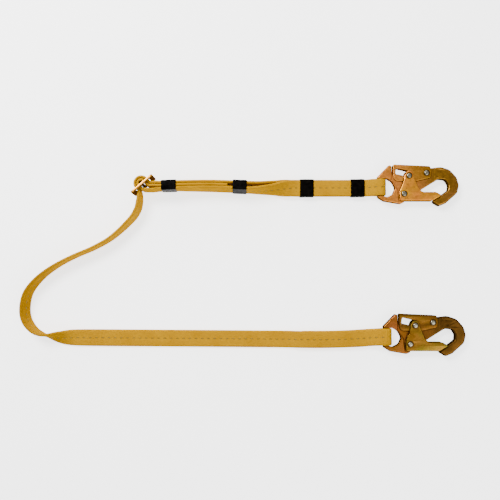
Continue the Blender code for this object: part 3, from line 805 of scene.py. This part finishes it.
def build_keeper(number, centre, made):
    line = framed(lay(strand_rows(0.0), 1))
    near = [s for s in line if abs(s[0].x - centre) <= KEEPER_LENGTH / 2]
    plies = 3 if centre < 0 else 2
    across = WEB_HALF_WIDTH + KEEPER_GAP
    through = WEB_HALF_THICK + PLY_PITCH * (plies - 1) / 2 + KEEPER_GAP
    stations = near[::2]
    last = len(stations) - 1

    def crumpled(i):
        lip = min(1.0, min(i, last - i) / 2.0)
        wall = KEEPER_WALL * (0.62 + 0.30 * math.sqrt(lip))
        rows = []
        for a, b in soft_box(across + wall, through + wall, 1.9):
            ripple = noise.noise(Vector((a * 0.22, b * 0.3 + number * 7, i * 0.16)))
            shrink = 1 - 0.018 * (0.5 + ripple)
            rows.append((a * shrink, b * shrink))
        return rows

    outside = sweep(f"keeper_{number}_band", stations, crumpled, False)
    inside = sweep(f"keeper_{number}_inside", stations,
                   lambda i: soft_box(across, through, 1.0), False)
    bm = bmesh.new()
    bm.from_mesh(outside.data)
    bm.from_mesh(inside.data)
    count = len(crumpled(0))
    bm.verts.ensure_lookup_table()
    total = count * len(stations)
    for end in (0, total - count):
        for k in range(count):
            j = (k + 1) % count
            bm.faces.new((bm.verts[end + k], bm.verts[end + j],
                          bm.verts[total + end + j], bm.verts[total + end + k]))
    bmesh.ops.recalc_face_normals(bm, faces=bm.faces)
    bm.to_mesh(outside.data)
    bm.free()
    bpy.data.objects.remove(inside)
    shown(outside, made, "webbing", 50)
    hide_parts(f"keeper_{number}")


def build_adjuster(made):
    inner, outer, high = SLOT
    wide, tall = ADJUSTER_HALF
    edge = rounded([(wide, tall, 4), (-wide, tall, 4), (-wide, -tall, 4), (wide, -tall, 4)])
    slots = [rounded([(s * inner, high, 1.2), (s * outer, high, 2.5),
                      (s * outer, -high, 2.5), (s * inner, -high, 1.2)]) for s in (1, -1)]
    obj = plate("adjuster_plate", [edge] + slots, ADJUSTER_THICK / 2, 0.7, 3)
    stand = Matrix((ALONG, UPRIGHT, OUT)).transposed().to_4x4()
    obj.data.transform(Matrix.Translation(at_layout(*ADJUSTER_AT)) @ stand)
    shown(obj, made, "adjuster", 40)
    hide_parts("adjuster_frame")


# ---------------------------------------------------------------- snap hooks

def moved(obj, x, y):
    obj.data.transform(Matrix.Translation(Vector((x, y, 0)) * MM))
    return obj


def hook_body():
    bow = plate("bow", [rounded(BOW_OUTLINE)], BOW_HALF, BOW_EDGE, 4)
    for vert in bow.data.vertices:
        if vert.co.y > 0:
            grown = min(1.0, max(0.0, (vert.co.x / MM - BOW_OUTLINE[0][0]) / BOW_GROWTH))
            vert.co.z *= (PLATE_HALF - 0.2 + (BOW_HALF - PLATE_HALF + 0.2) * grown) / BOW_HALF
    boss = moved(cylinder("boss", 7.0, LEVER_SHEET[1]), *GATE_PIVOT)
    bar = cylinder("bar", EYE_BAR + 0.1, 15.0)
    bar.data.transform(Matrix.Rotation(math.radians(90), 4, "X"))
    holes = [moved(cylinder("hole", RIVET_SHANK + HOLE_PLAY, 12), *centre)
             for centre in (GATE_PIVOT, LEVER_PIVOT)]
    solids = [combined(plate("body", [rounded(BODY_OUTLINE)], PLATE_HALF, BODY_EDGE, 3),
                       [("UNION", boss)] + [("DIFFERENCE", hole) for hole in holes]),
              plate("eye", [rounded(EYE_OUTLINE)], EYE_HALF, EYE_EDGE, 3)]
    solids = [combined(solid, [("DIFFERENCE", plate("opening", [rounded(EYE_OPENING)], 12))])
              for solid in solids] + [bow, bar]
    bm = bmesh.new()
    for solid in solids:
        bm.from_mesh(solid.data)
    bm.to_mesh(solids[0].data)
    bm.free()
    for spare in solids[1:]:
        bpy.data.objects.remove(spare)
    return forged(solids[0], FORGE_VOXEL, FORGE_PASSES)


def hook_gate():
    holes = [ring(*GATE_PIVOT, RIVET_SHANK + HOLE_PLAY), ring(*LOCK_PIN, PIN_SHANK + HOLE_PLAY)]
    obj = plate("gate", [rounded(GATE_OUTLINE)] + holes, GATE_SHEET[1], SHEET_EDGE, 3)
    fold = GATE_FOLD + SHEET
    start, end = GATE_FLOOR
    room = [(10, 45), (110, 45), (110, -40), (end, -40), (end, fold), (start, fold),
            (start, -40), (10, -40)]
    return combined(obj, [("DIFFERENCE", plate("room", [room], GATE_SHEET[0]))])


def hook_lever():
    holes = [ring(*LEVER_PIVOT, RIVET_SHANK + HOLE_PLAY), rounded(LEVER_WINDOW)]
    obj = plate("lever", [rounded(LEVER_OUTLINE)] + holes, LEVER_SHEET[1], SHEET_EDGE, 3)
    (x0, y0, _), (x1, y1, _) = LEVER_OUTLINE[:2]
    slope = (y1 - y0) / (x1 - x0)
    room = [(x, y0 - SHEET + slope * (x - x0)) for x in (5, 110)] + [(110, -40), (5, -40)]
    return combined(obj, [("DIFFERENCE", plate("room", [room], LEVER_SHEET[0]))])


def rivet(shank, under):
    """Pin with a set, dimpled dome on a thin collar at both ends."""
    dome, collar = RIVET_HEAD
    head = [(collar, under), (collar, under + 0.17), (collar - 0.12, under + 0.25),
            (dome + 0.15, under + 0.25), (dome, under + 0.35)]
    for a in range(80, 20, -10):
        swing = math.radians(a)
        head.append((dome * math.sin(swing), under + 0.35 + 0.65 * math.cos(swing) ** 0.7))
    head += [(dome * 0.22, under + 0.97), (dome * 0.1, under + 0.85), (0, under + 0.83)]
    half = [(shank, under)] + head
    return turned("rivet", [(r, -z) for r, z in half[::-1]] + half)


def torsion_spring():
    """Round wire coil on the lock pin with two short legs."""
    wire_half, radius, turns, half = 0.45, 2.9, 4, 2.3
    start, steps = math.radians(290), 32 * turns
    points = []
    for k in range(steps + 1):
        a = start + 2 * math.pi * (turns + 0.3) * k / steps
        points.append((radius * math.cos(a), radius * math.sin(a), -half + 2 * half * k / steps))
    ends = []
    for side, end in ((-1, points[0]), (1, points[-1])):
        a = math.atan2(end[1], end[0])
        ends.append((end[0] - side * 4.2 * math.sin(a), end[1] + side * 4.2 * math.cos(a), end[2]))
    points = [ends[0]] + points + [ends[1]]
    curve = bpy.data.curves.new("spring", "CURVE")
    curve.dimensions = "3D"
    curve.bevel_depth = wire_half * MM
    curve.bevel_resolution = 3
    curve.use_fill_caps = True
    spline = curve.splines.new("POLY")
    spline.points.add(len(points) - 1)
    for knot, point in zip(spline.points, points):
        knot.co = (*(Vector(point) * MM), 1.0)
    holder = bpy.data.objects.new("spring curve", curve)
    mesh = cleaned(bpy.data.meshes.new_from_object(holder))
    bpy.data.objects.remove(holder)
    return bpy.data.objects.new("spring", mesh)


PINS = {"gate_rivet": GATE_PIVOT, "lock_pin": LOCK_PIN, "lever_rivet": LEVER_PIVOT}


def hook_origin(prefix):
    """Eye bar axis at mid thickness, from where the frame holds the gate rivet."""
    low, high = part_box(prefix + "_gate_rivet")
    middle = (Vector(low) + Vector(high)) / 2
    return middle - Vector((*GATE_PIVOT, 0)) * MM


def build_hooks(shapes, finishes):
    for prefix in ("upper", "lower"):
        origin = hook_origin(prefix)
        for node, (shape, body, angle) in shapes.items():
            name = f"{prefix}_{node}"
            piece = bpy.data.objects.new(name + "_shape", shape.data.copy())
            piece.data.transform(Matrix.Translation(origin))
            shown(piece, finishes[prefix, node], f"{prefix}_{body}", angle)
            if node in PINS:
                paint_collar_shadow(piece, origin + Vector((*PINS[node], 0)) * MM,
                             finishes[prefix, "collar"])
            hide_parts(name)
    for shape, _, _ in shapes.values():
        bpy.data.objects.remove(shape)


def paint_collar_shadow(piece, axis, made):
    """Paints the collar under each rivet head near black, with a material of its own, as the shadow
    ring round the dome.
    """
    piece.data.materials.append(made)
    for face in piece.data.polygons:
        if (face.center - axis).to_2d().length > (RIVET_HEAD[0] + 0.1) * MM:
            face.material_index = 1


def hook_shapes():
    """Node name: shape, the body it rides on after the prefix, and its smoothing angle."""
    over_gate, over_lever = GATE_SHEET[1] + HOLE_PLAY, LEVER_SHEET[1] + HOLE_PLAY
    return {
        "hook_body": (hook_body(), "hook", None),
        "gate": (hook_gate(), "gate", 35),
        "lock_lever": (hook_lever(), "lever", 35),
        "gate_rivet": (moved(rivet(RIVET_SHANK, over_gate), *GATE_PIVOT), "hook", 40),
        "lock_pin": (moved(rivet(PIN_SHANK, over_gate), *LOCK_PIN), "gate", 40),
        "lever_rivet": (moved(rivet(RIVET_SHANK, over_lever), *LEVER_PIVOT), "hook", 40),
        "spring": (moved(torsion_spring(), *LOCK_PIN), "gate", None)}


def hook_finishes():
    bright = steel_material("bright rivet steel", (0.34, 0.32, 0.23), 0.28)
    wire_steel = steel_material("spring wire steel", (0.22, 0.20, 0.17), 0.3)
    # Painted shadow: near-black plating on the collars stands in for the shadow ring round each rivet
    # dome.
    collar = plated_material("collar painted shadow", ((0.050, 0.028, 0.006), (0.075, 0.034, 0.010)), 9.1)
    tints = {
        ("upper", "hook_body"): ((0.80, 0.29, 0.030), (0.95, 0.31, 0.055),
                                 (0.28, 0.130, 0.014), (0.38, 0.165, 0.034)),
        ("upper", "gate"): ((0.95, 0.42, 0.012), (1.00, 0.32, 0.040)),
        ("upper", "lock_lever"): ((0.74, 0.29, 0.030), (0.84, 0.29, 0.045),
                                  (0.34, 0.165, 0.010), (0.46, 0.20, 0.016)),
        ("lower", "hook_body"): ((0.20, 0.080, 0.010), (0.30, 0.090, 0.020),
                                 (0.055, 0.026, 0.004), (0.115, 0.050, 0.009)),
        ("lower", "gate"): ((0.15, 0.125, 0.010), (0.28, 0.125, 0.014)),
        ("lower", "lock_lever"): ((0.17, 0.085, 0.008), (0.22, 0.085, 0.018),
                                  (0.10, 0.048, 0.005), (0.16, 0.062, 0.008))}
    made = {key: plated_material(" ".join(key) + " plating", rows, 2.3 * number)
            for number, (key, rows) in enumerate(tints.items())}
    for prefix in ("upper", "lower"):
        for node in PINS:
            made[prefix, node] = bright
        made[prefix, "collar"] = collar
        made[prefix, "spring"] = wire_steel
    return made


def build_floor():
    bpy.ops.mesh.primitive_plane_add(size=TABLE_SIZE * MM, location=(0, 0, -TABLE_DROP * MM))
    floor = bpy.context.object
    floor.name = "table"
    floor.data.materials.append(floor_material())


build_camera()
build_light()
build_webbing(webbing_material(), thread_material())
vinyl = vinyl_material()
for count, centre in enumerate(KEEPERS_AT, start=1):
    build_keeper(count, centre, vinyl)
build_adjuster(plated_material("adjuster plating", ((0.95, 0.40, 0.03), (1.00, 0.44, 0.06)),
                               6.0, 0.10))
build_hooks(hook_shapes(), hook_finishes())
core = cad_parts["shock_core"]
core.data.materials.clear()
core.data.materials.append(core_material())
build_floor()
